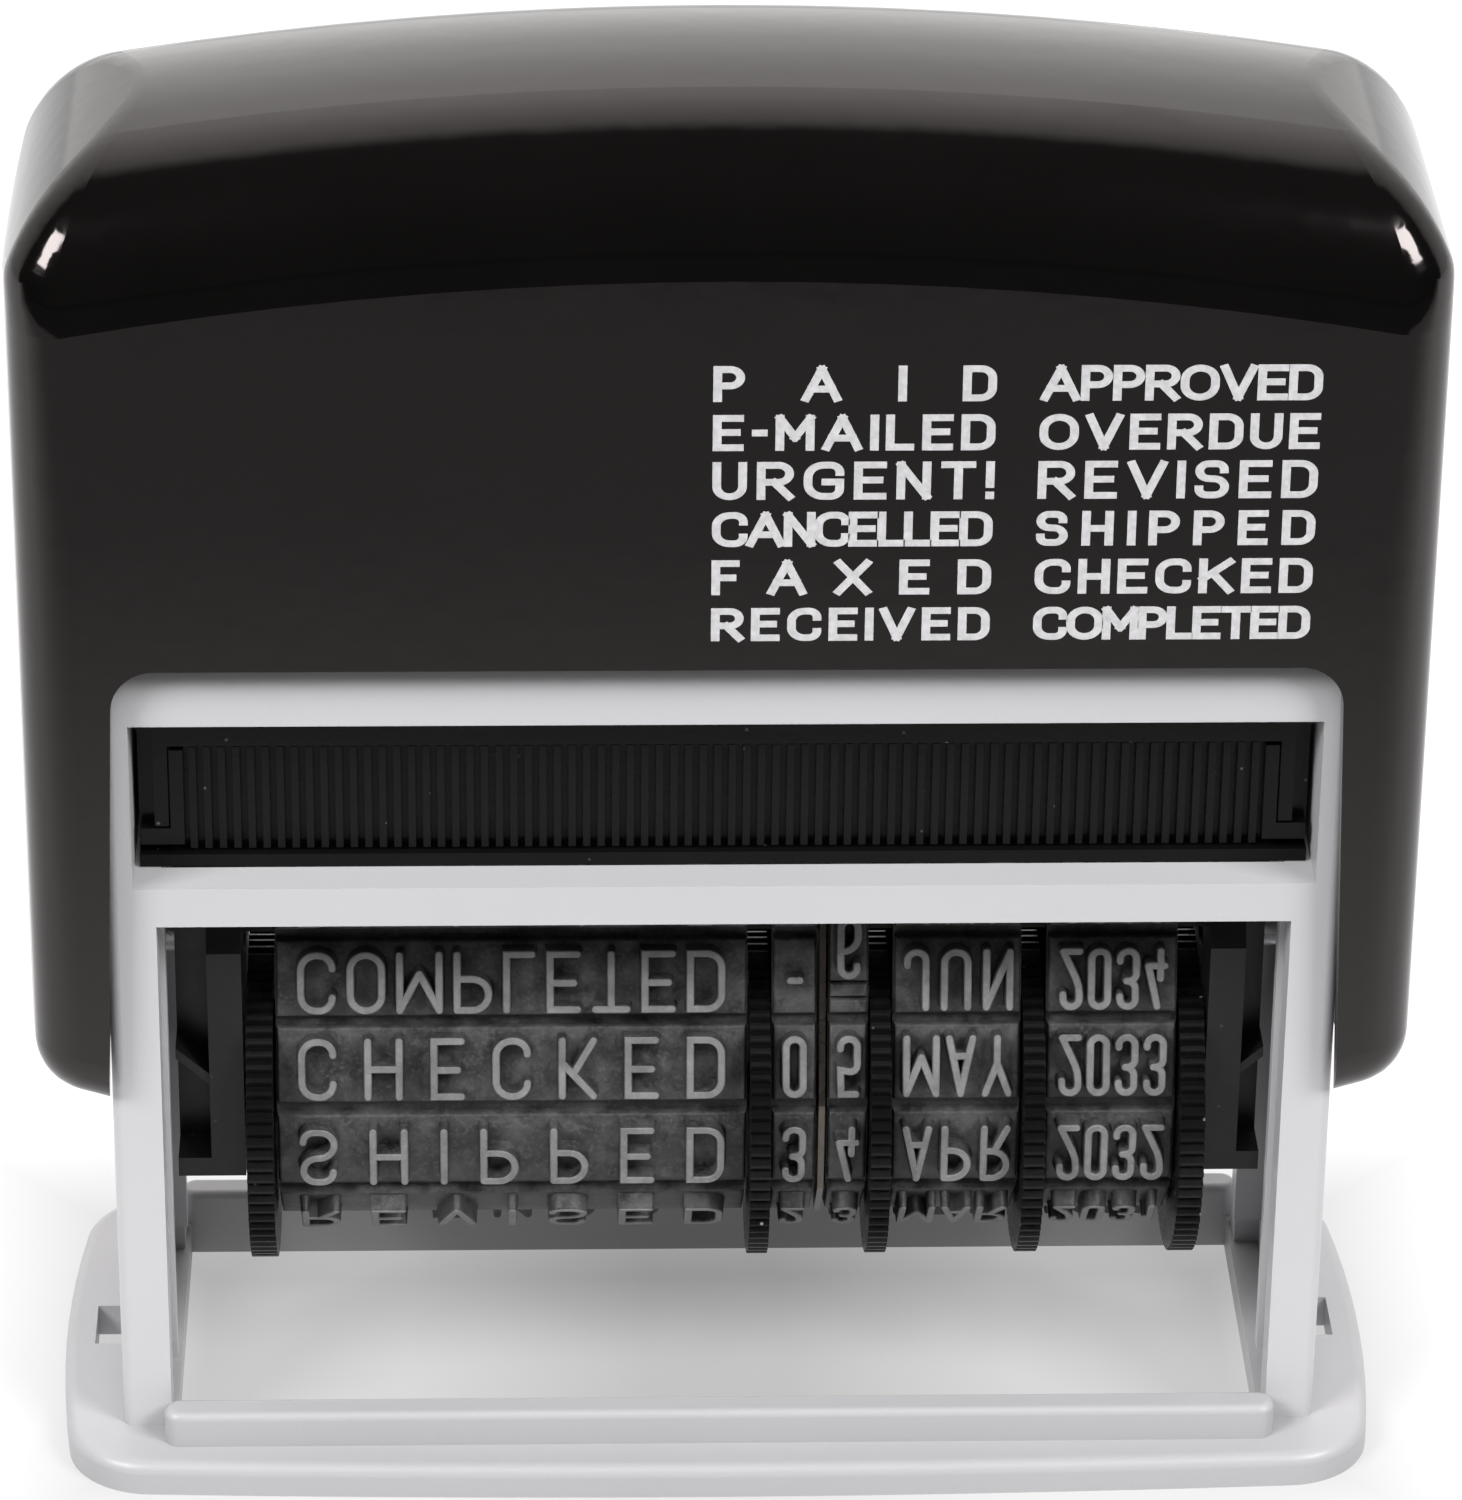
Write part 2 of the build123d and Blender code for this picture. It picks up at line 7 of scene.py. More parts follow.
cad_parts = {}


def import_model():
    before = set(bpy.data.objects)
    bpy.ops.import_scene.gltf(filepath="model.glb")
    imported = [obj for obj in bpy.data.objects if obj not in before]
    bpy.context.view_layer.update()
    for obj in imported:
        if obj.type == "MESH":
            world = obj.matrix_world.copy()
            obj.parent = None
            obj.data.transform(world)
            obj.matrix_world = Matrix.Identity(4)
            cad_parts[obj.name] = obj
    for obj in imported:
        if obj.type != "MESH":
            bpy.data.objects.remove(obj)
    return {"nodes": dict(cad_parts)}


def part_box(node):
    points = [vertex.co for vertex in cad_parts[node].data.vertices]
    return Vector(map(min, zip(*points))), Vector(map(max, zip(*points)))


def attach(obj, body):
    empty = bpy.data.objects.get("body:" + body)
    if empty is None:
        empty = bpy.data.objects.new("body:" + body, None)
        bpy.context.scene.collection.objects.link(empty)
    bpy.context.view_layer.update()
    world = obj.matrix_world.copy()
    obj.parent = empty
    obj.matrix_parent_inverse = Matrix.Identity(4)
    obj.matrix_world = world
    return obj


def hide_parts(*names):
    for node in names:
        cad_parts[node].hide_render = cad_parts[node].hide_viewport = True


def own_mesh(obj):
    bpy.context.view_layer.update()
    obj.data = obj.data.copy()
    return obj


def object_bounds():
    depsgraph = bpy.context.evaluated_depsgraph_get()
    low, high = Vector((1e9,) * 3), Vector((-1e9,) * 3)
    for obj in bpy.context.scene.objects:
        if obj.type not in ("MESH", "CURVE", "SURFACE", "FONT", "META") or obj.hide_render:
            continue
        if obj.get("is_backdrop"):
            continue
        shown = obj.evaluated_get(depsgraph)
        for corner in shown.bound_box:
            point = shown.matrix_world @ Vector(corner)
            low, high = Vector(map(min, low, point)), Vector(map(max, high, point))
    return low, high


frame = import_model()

MM = 0.001
CAD_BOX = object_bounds()
NODES = frame["nodes"]

# ---- Dimensions of the type bands, in millimetres, as the CAD has them ----
TYPE_PITCH = 5.12
BLOCK_LENGTH = 4.45
BLOCK_TOP = 0.6
BAND_INSIDE = -0.5
TYPE_RELIEF = 1.0
LEANING_BLOCKS = 3
WHEEL_APOTHEM = TYPE_PITCH / 2 / math.tan(math.radians(22.5))
LEAN_WIDTH = WHEEL_APOTHEM - TYPE_PITCH / 2
FACE_RISE = TYPE_PITCH / 2 + math.sqrt((LEANING_BLOCKS * TYPE_PITCH) ** 2 - LEAN_WIDTH ** 2)

# The words on each band, in the order of its seats: up the rear side, over the top, down the front.
MESSAGES = ("APPROVED", "RECEIVED", "FAXED", "CANCELLED", "URGENT!", "E-MAILED",
            "PAID", "COMPLETED", "CHECKED", "SHIPPED", "REVISED", "OVERDUE")
MONTHS = ("JAN", "DEC", "NOV", "OCT", "SEP", "AUG", "JUL", "JUN", "MAY", "APR", "MAR", "FEB")
YEARS = ("2029", "2028", "2027", "2026", "2025", "2024", "2023", "2034", "2033", "2032", "2031", "2030")
TENS = ("3", "-", "0", "1", "2", "3", "-", "-", "0", "3", "2", "1")
ONES = ("1", "0", "9", "8", "7", "6", "", "6", "5", "4", "3", "2")

# Band node, its texts, glyph width and side margin in millimetres.
BAND_TYPE = (
    ("message_band", MESSAGES, 2.25, 1.25),
    ("day_tens_band", TENS, 1.45, 0.5),
    ("day_ones_band", ONES, 1.45, 0.4),
    ("month_band", MONTHS, 1.8, 0.5),
    ("year_band", YEARS, 1.4, 0.6),
)
TYPE_HEIGHT = 3.75
PLAIN_SEAT = (((0.0, BLOCK_LENGTH / 2),), 0.0)
# Seats that differ: each block's middle and half length along the band, and how far the type is moved.
ODD_SEATS = {
    ("day_ones_band", 6): (((-0.95, 1.275),), 0.0),
    ("day_ones_band", 7): (((-1.9, BLOCK_LENGTH / 2), (0.865, 0.385), (1.8, 0.4)), -1.9),
}
STROKE = 0.235                   # half the width of a character's stroke

# ---- Stroke alphabet: each stroke is a list of points (x, y, corner), and True if it is closed ----
# x and y run from 0 to 1 over the character, and corner is a share of the biggest radius that fits.
GLYPHS = {
    "A": [([(0, 0), (.5, 1)], False), ([(1, 0), (.5, 1)], False), ([(.18, .32), (.82, .32)], False)],
    "B": [([(0, 0), (0, 1)], False), ([(0, 1), (.92, 1, 1), (.92, .53, 1), (0, .53)], False),
          ([(0, 0), (1, 0, 1), (1, .53, 1), (0, .53)], False)],
    "C": [([(1, .76), (1, 1, 1), (0, 1, 1), (0, 0, 1), (1, 0, 1), (1, .24)], False)],
    "D": [([(0, 0), (0, 1), (1, 1, .95), (1, 0, .95)], True)],
    "E": [([(1, 1), (0, 1), (0, 0), (1, 0)], False), ([(0, .52), (.86, .52)], False)],
    "F": [([(1, 1), (0, 1), (0, 0)], False), ([(0, .5), (.84, .5)], False)],
    "G": [([(1, .76), (1, 1, 1), (0, 1, 1), (0, 0, 1), (1, 0, 1), (1, .46), (.56, .46)], False)],
    "H": [([(0, 0), (0, 1)], False), ([(1, 0), (1, 1)], False), ([(0, .5), (1, .5)], False)],
    "I": [([(.5, 0), (.5, 1)], False)],
    "J": [([(0, .24), (0, 0, 1), (1, 0, 1), (1, 1)], False)],
    "K": [([(0, 0), (0, 1)], False), ([(1, 1), (0, .4)], False), ([(.36, .6), (1, 0)], False)],
    "L": [([(0, 1), (0, 0), (1, 0)], False)],
    "M": [([(0, 0), (0, 1)], False), ([(1, 0), (1, 1)], False), ([(0, 1), (.5, .34)], False),
          ([(1, 1), (.5, .34)], False)],
    "N": [([(0, 0), (0, 1)], False), ([(1, 0), (1, 1)], False), ([(0, 1), (1, 0)], False)],
    "O": [([(0, 0, 1), (0, 1, 1), (1, 1, 1), (1, 0, 1)], True)],
    "P": [([(0, 0), (0, 1)], False), ([(0, 1), (1, 1, 1), (1, .44, 1), (0, .44)], False)],
    "R": [([(0, 0), (0, 1)], False), ([(0, 1), (1, 1, 1), (1, .46, 1), (0, .46)], False),
          ([(.46, .46), (1, 0)], False)],
    "S": [([(.96, .8), (.96, 1, 1), (0, 1, 1), (0, .54, 1), (1, .5, 1), (1, 0, 1), (0, 0, 1), (0, .2)],
           False)],
    "T": [([(0, 1), (1, 1)], False), ([(.5, 1), (.5, 0)], False)],
    "U": [([(0, 1), (0, 0, 1), (1, 0, 1), (1, 1)], False)],
    "V": [([(0, 1), (.5, 0)], False), ([(1, 1), (.5, 0)], False)],
    "X": [([(0, 0), (1, 1)], False), ([(0, 1), (1, 0)], False)],
    "Y": [([(0, 1), (.5, .46)], False), ([(1, 1), (.5, .46)], False), ([(.5, .46), (.5, 0)], False)],
    "0": [([(0, 0, 1), (0, 1, 1), (1, 1, 1), (1, 0, 1)], True)],
    "1": [([(.62, 1), (.62, 0)], False), ([(.1, .74), (.62, 1)], False)],
    "2": [([(0, .78), (0, 1, 1), (1, 1, 1), (1, .62, .8), (0, 0)], False), ([(0, 0), (1, 0)], False)],
    "3": [([(0, .82), (0, 1, 1), (.95, 1, 1), (.95, .54, 1), (.4, .54)], False),
          ([(.5, .54), (1, .54, 1), (1, 0, 1), (0, 0, 1), (0, .18)], False)],
    "4": [([(.56, 1), (0, .27)], False), ([(0, .27), (1, .27)], False), ([(.74, .5), (.74, 0)], False)],
    "5": [([(.95, 1), (.06, 1), (.02, .56), (1, .62, 1), (1, 0, 1), (0, 0, 1), (0, .18)], False)],
    "6": [([(.95, .82), (.95, 1, 1), (0, 1, 1), (0, 0, 1), (1, 0, 1), (1, .3)], False),
          ([(0, .56), (1, .56, 1), (1, .28)], False)],
    "7": [([(0, 1), (1, 1)], False), ([(1, 1), (.36, 0)], False)],
    "8": [([(.06, .54, 1), (.06, 1, 1), (.94, 1, 1), (.94, .54, 1)], True),
          ([(0, 0, 1), (0, .52, 1), (1, .52, 1), (1, 0, 1)], True)],
    "9": [([(.05, .18), (.05, 0, 1), (1, 0, 1), (1, 1, 1), (0, 1, 1), (0, .7)], False),
          ([(1, .44), (0, .44, 1), (0, .72)], False)],
    "-": [([(0, .5), (1, .5)], False)],
    "!": [([(.5, .36), (.5, 1)], False), ([(.5, 0), (.5, .03)], False)],
}
NARROW = {"I": 0.25, "!": 0.25, "-": 0.7, "1": 0.7, "J": 0.85, "E": 0.9, "F": 0.88, "L": 0.85, "M": 1.2}


# ---- Mesh helpers ----
def new_mesh(name, points, faces, kinds, materials, body):
    """A piece from points in millimetres, with one material number a face. It rides on a body."""
    mesh = bpy.data.meshes.new(name)
    mesh.from_pydata([Vector(p) * MM for p in points], [], faces)
    mesh.validate()
    for material in materials:
        mesh.materials.append(material)
    if len(mesh.polygons) == len(kinds):
        mesh.polygons.foreach_set("material_index", kinds)
    mesh.shade_smooth()
    mesh.set_sharp_from_angle(angle=math.radians(38))
    piece = bpy.data.objects.new(name, mesh)
    bpy.context.scene.collection.objects.link(piece)
    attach(piece, body)
    return piece


class Shape:
    """Points, faces and material numbers gathered for one mesh."""

    def __init__(self):
        self.points = []
        self.faces = []
        self.kinds = []

    def add(self, points, faces, kind=0):
        start = len(self.points)
        self.points.extend(points)
        self.faces.extend([tuple(start + i for i in face) for face in faces])
        self.kinds.extend(kind if isinstance(kind, list) else [kind] * len(faces))


def unit(vector):
    return vector / max(np.linalg.norm(vector), 1e-12)


def round_corners(stroke, closed):
    """The stroke's line, with each corner that asks for it turned into an arc."""
    points = [np.array(p[:2], float) for p in stroke]
    count = len(points)
    line = []
    for here, entry in enumerate(stroke):
        share = entry[2] if len(entry) > 2 else 0
        if share <= 0 or (not closed and here in (0, count - 1)):
            line.append(points[here])
            continue
        back = points[here - 1] - points[here]
        ahead = points[(here + 1) % count] - points[here]
        reach = []
        for other, run in ((here - 1, back), (here + 1, ahead)):
            end = not closed and other in (0, count - 1)
            reach.append(np.linalg.norm(run) * (0.98 if end else 0.5))
        bend = math.acos(np.clip(np.dot(unit(back), unit(ahead)), -1, 1))
        cut = min(reach) * share
        radius = cut * math.tan(bend / 2)
        centre = points[here] + unit(unit(back) + unit(ahead)) * math.hypot(radius, cut)
        start = points[here] + unit(back) * cut - centre
        turn = math.pi - bend
        side = np.sign(-back[0] * ahead[1] + back[1] * ahead[0])
        steps = max(2, round(math.degrees(turn) / 13))
        for step in range(steps + 1):
            a = side * turn * step / steps
            line.append(centre + np.array([start[0] * math.cos(a) - start[1] * math.sin(a),
                                           start[0] * math.sin(a) + start[1] * math.cos(a)]))
    return [p for i, p in enumerate(line)
            if (i == 0 and not closed) or np.linalg.norm(p - line[i - 1]) > 1e-4]


def side_points(line, closed, half):
    """The line's left and right offsets, half to each side."""
    count = len(line)
    left, right = [], []
    for here in range(count):
        runs = []
        if closed or here > 0:
            runs.append(unit(line[here] - line[here - 1]))
        if closed or here < count - 1:
            runs.append(unit(line[(here + 1) % count] - line[here]))
        normals = [np.array([-run[1], run[0]]) for run in runs]
        middle = unit(sum(normals))
        stretch = min(1 / max(np.dot(middle, normals[0]), 0.3), 1.7)
        left.append(line[here] + middle * half * stretch)
        right.append(line[here] - middle * half * stretch)
    return left, right


def ring_of(line, closed, half):
    """One closed ring of points round the stroke, or two for a closed stroke."""
    left, right = side_points(line, closed, half)
    if closed:
        return [left, right[::-1]]
    ring = list(left)
    for end, before in ((line[-1], line[-2]), (line[0], line[1])):
        out = unit(end - before)
        across = np.array([-out[1], out[0]])
        for step in range(1, 6):
            a = math.pi / 2 - math.pi * step / 6
            ring.append(end + half * (out * math.cos(a) + across * math.sin(a)))
        if end is line[-1]:
            ring.extend(right[::-1])
    return [ring]


# Half width and height of a character's cross-section, from its foot to its flat top.
TYPE_PROFILE = ((0.37, -0.08), (0.29, 0.10), (0.25, 0.80), (0.225, 0.94), (0.165, 1.0))


def add_stroke(shape, stroke, closed, place, scale, lift, kind):
    """A moulded stroke: its sides slope in a little and keep the block's colour, and its rounded top takes
    the lighter rubber, a painted highlight.
    """
    line = round_corners([(p[0] * scale[0], p[1] * scale[1], *p[2:]) for p in stroke], closed)
    levels = []
    for half, height in TYPE_PROFILE:
        rings = ring_of(line, closed, half * STROKE / 0.25)
        levels.append([[(p[0], p[1], height * TYPE_RELIEF + lift) for p in ring] for ring in rings])
    for index in range(len(levels[0])):
        points, faces = [], []
        size = len(levels[0][index])
        for level in levels:
            points.extend(level[index])
        for row in range(len(levels) - 1):
            for i in range(size):
                j = (i + 1) % size
                faces.append((row * size + j, row * size + i, (row + 1) * size + i, (row + 1) * size + j))
        walls = (len(levels) - 2) * size
        if not closed:
            top = (len(levels) - 1) * size
            count = len(line)
            faces.extend([(top + i, top + i + 1, top + 2 * count + 5 - 2 - i, top + 2 * count + 5 - 1 - i)
                          for i in range(count - 1)])
            faces.append(tuple([top + i for i in range(count - 1, count + 6)]))
            faces.append(tuple([top + i for i in range(2 * count + 4, 2 * count + 10)] + [top]))
        # The walls keep the block rubber; the rounded top takes kind, the lighter rubber that is a painted
        # highlight.
        kinds = [0] * walls + [kind] * (len(faces) - walls)
        shape.add([place(p) for p in points], [face[::-1] for face in faces], kinds)
    if closed:
        left, right = levels[-1]
        size = len(left)
        faces = [(i, (i + 1) % size, size + (size - 2 - i) % size, size + size - 1 - i) for i in range(size)]
        shape.add([place(p) for p in left + right], faces, kind)


# ---- Type bands ----
def band_corners(height):
    """Corners of the band's path at a height above its neutral line, as (Y, Z) pairs from its axle."""
    half = TYPE_PITCH / 2
    side = [(half, -WHEEL_APOTHEM), (WHEEL_APOTHEM, -half), (WHEEL_APOTHEM, half), (half, FACE_RISE)]
    loop = side + [(-y, z) for y, z in reversed(side)]
    corners = []
    for here, (y, z) in enumerate(loop):
        first = outward(loop[here - 1], (y, z))
        second = outward((y, z), loop[(here + 1) % len(loop)])
        spread = 1 + first[0] * second[0] + first[1] * second[1]
        corners.append((y + height * (first[0] + second[0]) / spread,
                        z + height * (first[1] + second[1]) / spread))
    return corners


def outward(start, end):
    dy, dz = end[0] - start[0], end[1] - start[1]
    length = math.hypot(dy, dz)
    return dz / length, -dy / length


def band_seats():
    """Middle and outward normal of each type block, as (Y, Z, normal Y, normal Z) from the axle."""
    corners = band_corners(0)
    seats = []
    for here, start in enumerate(corners):
        end = corners[(here + 1) % len(corners)]
        count = round(math.dist(start, end) / TYPE_PITCH)
        normal = outward(start, end)
        for step in range(count):
            share = (step + 0.5) / count
            seats.append((start[0] + share * (end[0] - start[0]),
                          start[1] + share * (end[1] - start[1]), *normal))
    return seats


def add_loop(shape, x0, x1, axle_z):
    """The thin belt that the blocks stand on."""
    outer = [(y, z + axle_z) for y, z in band_corners(0.0)]
    inner = [(y, z + axle_z) for y, z in band_corners(BAND_INSIDE)]
    count = len(outer)
    points = [(x, y, z) for x in (x0, x1) for ring in (outer, inner) for y, z in ring]
    faces = []
    for i in range(count):
        j = (i + 1) % count
        faces.append((i, j, 2 * count + j, 2 * count + i))
        faces.append((count + j, count + i, 3 * count + i, 3 * count + j))
        faces.append((j, i, count + i, count + j))
        faces.append((2 * count + i, 2 * count + j, 3 * count + j, 3 * count + i))
    shape.add(points, [face[::-1] for face in faces])


def add_block(shape, x0, x1, half, place, seed):
    """One type block: drafted sides, soft edges, and a top that isn't quite flat."""
    rng = np.random.default_rng(seed)
    levels = ((0.10, BAND_INSIDE / 2), (0.04, 0.25), (0.0, 0.47), (-0.05, 0.56), (-0.13, 0.6))
    columns = max(3, round((x1 - x0) / 0.9))
    rows = 4
    shares = [-1.0] + [-0.92 + 1.84 * i / (columns - 1) for i in range(columns)] + [1.0]
    ring = []
    for s in shares:
        ring.append((s, -1.0))
    for i in range(1, rows):
        ring.append((1.0, -1.0 + 2 * i / rows))
    for s in reversed(shares):
        ring.append((s, 1.0))
    for i in range(rows - 1, 0, -1):
        ring.append((-1.0, -1.0 + 2 * i / rows))
    middle, reach = (x0 + x1) / 2, (x1 - x0) / 2 - 0.1
    size = len(ring)
    points, faces = [], []
    for grow, height in levels:
        for u, v in ring:
            points.append(place((middle + u * (reach + grow), v * (half + grow), height)))
    for row in range(len(levels) - 1):
        for i in range(size):
            j = (i + 1) % size
            faces.append((row * size + i, row * size + j, (row + 1) * size + j, (row + 1) * size + i))
    top = (len(levels) - 1) * size
    grid = {}
    across = len(shares)
    for r in range(rows + 1):
        for c in range(across):
            if r == 0:
                grid[r, c] = top + c
            elif r == rows:
                grid[r, c] = top + across + rows - 1 + (across - 1 - c)
            elif c == across - 1:
                grid[r, c] = top + across - 1 + r
            elif c == 0:
                grid[r, c] = top + 2 * across + rows - 1 + (rows - 1 - r)
            else:
                grid[r, c] = len(points)
                dip = 0.6 + rng.uniform(-0.035, 0.02)
                across_u, along_v = shares[c] * (reach - 0.13), (-1 + 2 * r / rows) * (half - 0.13)
                points.append(place((middle + across_u, along_v, dip)))
    for r in range(rows):
        for c in range(across - 1):
            faces.append((grid[r, c], grid[r, c + 1], grid[r + 1, c + 1], grid[r + 1, c]))
    shape.add(points, [face[::-1] for face in faces])


def add_text(shape, text, x0, x1, width, margin, place):
    """A line of type. Its characters are spread evenly over the block, between the margins."""
    widths = [width * NARROW.get(c, 1.0) for c in text]
    span = x1 - x0 - 2 * margin
    if len(text) == 1:
        starts = [(x0 + x1 - widths[0]) / 2]
    else:
        fit = min(1.0, (span - 0.22 * (len(text) - 1)) / sum(widths))
        widths = [w * fit for w in widths]
        gap = (span - sum(widths)) / (len(text) - 1)
        starts = [x0 + margin + sum(widths[:i]) + gap * i for i in range(len(text))]
    height = TYPE_HEIGHT - 2 * STROKE
    for start, wide, char in zip(starts, widths, text):
        for number, (stroke, closed) in enumerate(GLYPHS[char]):
            def seat(p, left=start + STROKE):
                return place((left + p[0], p[1] - height / 2, p[2]))
            add_stroke(shape, stroke, closed, seat, (max(wide - 2 * STROKE, 0.01), height),
                       BLOCK_TOP + 0.004 * number, 1)


def type_band(node, texts, width, margin):
    """A detailed band with its type, in place of the plain CAD band."""
    low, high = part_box(node)
    x0, x1 = low.x / MM, high.x / MM
    axle_z = (low.z / MM) + WHEEL_APOTHEM + BLOCK_TOP
    shape = Shape()
    add_loop(shape, x0, x1, axle_z)
    for number, (text, seat) in enumerate(zip(texts, band_seats())):
        y, z, ny, nz = seat

        def place(p, y=y, z=z + axle_z, ny=ny, nz=nz):
            return (p[0], y + p[2] * ny - p[1] * nz, z + p[2] * nz + p[1] * ny)
        blocks, moved = ODD_SEATS.get((node, number), PLAIN_SEAT)
        for part, (middle, half) in enumerate(blocks):
            def block_place(p, place=place, middle=middle):
                return place((p[0], p[1] + middle, p[2]))
            add_block(shape, x0, x1, half, block_place, number + 17 * len(node) + 300 * part)
        if text:
            def type_place(p, place=place, moved=moved):
                return place((p[0], p[1] + moved, p[2]))
            add_text(shape, text, x0, x1, width, margin, type_place)
    piece = new_mesh(node.replace("band", "type"), shape.points, shape.faces, shape.kinds,
                     [RUBBER, LIT_TYPE_RUBBER], "carrier")
    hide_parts(node)
    return piece


# ---- Materials ----
class Nodes:
    """Short calls for building one material's nodes."""

    def __init__(self, name):
        self.material = bpy.data.materials.new(name)
        self.material.use_nodes = True
        self.tree = self.material.node_tree
        self.shader = self.tree.nodes["Principled BSDF"]
        self.where = self.tree.nodes.new("ShaderNodeTexCoord").outputs["Object"]

    def node(self, kind, inputs=None, **settings):
        made = self.tree.nodes.new(kind)
        for key, value in settings.items():
            setattr(made, key, value)
        for key, value in (inputs or {}).items():
            if isinstance(value, bpy.types.NodeSocket):
                self.tree.links.new(value, made.inputs[key])
            else:
                made.inputs[key].default_value = value
        return made

    def set(self, **values):
        for key, value in values.items():
            name = key.replace("_", " ")
            if isinstance(value, bpy.types.NodeSocket):
                self.tree.links.new(value, self.shader.inputs[name])
            else:
                self.shader.inputs[name].default_value = value

    def noise(self, scale, detail=3.0, rough=0.55, distort=0.0):
        return self.node("ShaderNodeTexNoise", {
            "Vector": self.where, "Scale": scale, "Detail": detail, "Roughness": rough,
            "Distortion": distort}).outputs["Fac"]

    def ramp(self, fac, low, high, stops=(0.0, 1.0)):
        """Maps fac from stops to low..high, as a number."""
        return self.node("ShaderNodeMapRange", {
            "Value": fac, "From Min": stops[0], "From Max": stops[1],
            "To Min": low, "To Max": high}).outputs["Result"]

    def mix(self, fac, a, b):
        made = self.node("ShaderNodeMix", data_type="RGBA")
        for key, value in (("Factor", fac), (6, a), (7, b)):
            if isinstance(value, bpy.types.NodeSocket):
                self.tree.links.new(value, made.inputs[key])
            elif key == "Factor":
                made.inputs[0].default_value = value
            else:
                made.inputs[key].default_value = (*value, 1.0) if len(value) == 3 else value
        return made.outputs[2]

    def math(self, kind, a, b=0.0):
        made = self.node("ShaderNodeMath", {0: a, 1: b}, operation=kind)
        return made.outputs[0]

    def specks(self, scale, size):
        """Small scattered dots: 1 on a dot and 0 between."""
        cell = self.node("ShaderNodeTexVoronoi", {"Vector": self.where, "Scale": scale, "Randomness": 1.0},
                         feature="F1")
        near = self.ramp(cell.outputs["Distance"], 1.0, 0.0, (size * 0.5, size))
        some = self.node("ShaderNodeSeparateColor", {"Color": cell.outputs["Color"]}).outputs["Red"]
        chosen = self.math("GREATER_THAN", some, 0.72)
        return self.math("MULTIPLY", near, chosen)

    def bump(self, height, strength, distance, below=None):
        inputs = {"Height": height, "Strength": strength, "Distance": distance}
        if below is not None:
            inputs["Normal"] = below
        return self.node("ShaderNodeBump", inputs).outputs["Normal"]


def gloss_black():
    m = Nodes("gloss_black_abs")
    cloud = m.noise(140.0, 3.0)
    dust = m.specks(190.0, 0.030)
    colour = m.mix(cloud, (0.0016, 0.0015, 0.0014), (0.0026, 0.0024, 0.0023))
    colour = m.mix(m.math("MULTIPLY", dust, 0.35), colour, (0.30, 0.29, 0.28))
    wear = m.ramp(m.noise(900.0, 2.0), 0.075, 0.125)
    rough = m.math("ADD", wear, m.math("MULTIPLY", dust, 0.4))
    peel = m.bump(m.noise(520.0, 1.0), 0.035, 0.0004)
    m.set(Base_Color=colour, Roughness=rough, Normal=peel, IOR=1.5, Specular_Tint=(1.0, 0.91, 0.895, 1.0))
    return m.material


def satin_black(name, low, high, rough, specks, shine, grain=2600.0):
    m = Nodes(name)
    cloud = m.noise(320.0, 3.0)
    colour = m.mix(cloud, low, high)
    if specks:
        colour = m.mix(m.math("MULTIPLY", m.specks(800.0, 0.10), specks), colour, (0.35, 0.34, 0.33))
    roughness = m.ramp(m.noise(1500.0, 2.0), rough - 0.07, rough + 0.07)
    normal = m.bump(m.noise(grain, 2.0), 0.12, 0.00012)
    m.set(Base_Color=colour, Roughness=roughness, Normal=normal, IOR=1.49, Specular_IOR_Level=shine)
    return m.material


def grey_abs(name, tone):
    m = Nodes(name)
    cloud = m.noise(70.0, 3.0)
    warm = m.noise(30.0, 2.0)
    colour = m.mix(cloud, tuple(c * 0.965 for c in tone), tuple(min(c * 1.03, 1) for c in tone))
    warmer = (tone[0], tone[1] * 0.985, tone[2] * 0.96)
    colour = m.mix(m.ramp(warm, 0.0, 0.35, (0.4, 0.8)), colour, warmer)
    colour = m.mix(m.math("MULTIPLY", m.specks(420.0, 0.035), 0.45), colour, (0.30, 0.28, 0.27))
    roughness = m.ramp(m.noise(700.0, 3.0), 0.33, 0.45)
    normal = m.bump(m.noise(3200.0, 2.0), 0.10, 0.00012)
    m.set(Base_Color=colour, Roughness=roughness, Normal=normal, IOR=1.5)
    return m.material


def rubber(name, low, high, smear):
    m = Nodes(name)
    mottle = m.noise(620.0, 4.0, 0.6, 0.4)
    fine = m.noise(4200.0, 3.0)
    colour = m.mix(m.ramp(mottle, 0.0, 1.0, (0.34, 0.68)), low, high)
    colour = m.mix(m.ramp(fine, 0.0, smear, (0.5, 0.75)), colour, tuple(c * 1.7 for c in high))
    ink = m.ramp(m.noise(300.0, 3.0), 0.0, 0.7, (0.58, 0.74))
    colour = m.mix(ink, colour, tuple(c * 0.55 for c in low))
    roughness = m.ramp(mottle, 0.42, 0.62, (0.3, 0.7))
    normal = m.bump(fine, 0.18, 0.0001, m.bump(mottle, 0.25, 0.0002))
    m.set(Base_Color=colour, Roughness=roughness, Normal=normal, IOR=1.45)
    return m.material


def steel(name, low, high):
    m = Nodes(name)
    streak = m.noise(1800.0, 3.0, 0.6, 1.0)
    colour = m.mix(streak, low, high)
    m.set(Base_Color=colour, Metallic=1.0, Roughness=m.ramp(streak, 0.2, 0.4),
          Normal=m.bump(streak, 0.1, 0.0001))
    return m.material


def felt():
    m = Nodes("inked_felt")
    fibre = m.noise(3000.0, 6.0, 0.75, 2.0)
    patch = m.noise(180.0, 3.0)
    colour = m.mix(fibre, (0.006, 0.006, 0.010), (0.035, 0.035, 0.045))
    colour = m.mix(m.ramp(patch, 0.0, 0.5, (0.45, 0.7)), colour, (0.004, 0.004, 0.008))
    m.set(Base_Color=colour, Roughness=m.ramp(patch, 0.55, 0.9), Sheen_Weight=0.3, Sheen_Roughness=0.5,
          Normal=m.bump(fibre, 0.8, 0.0004))
    return m.material


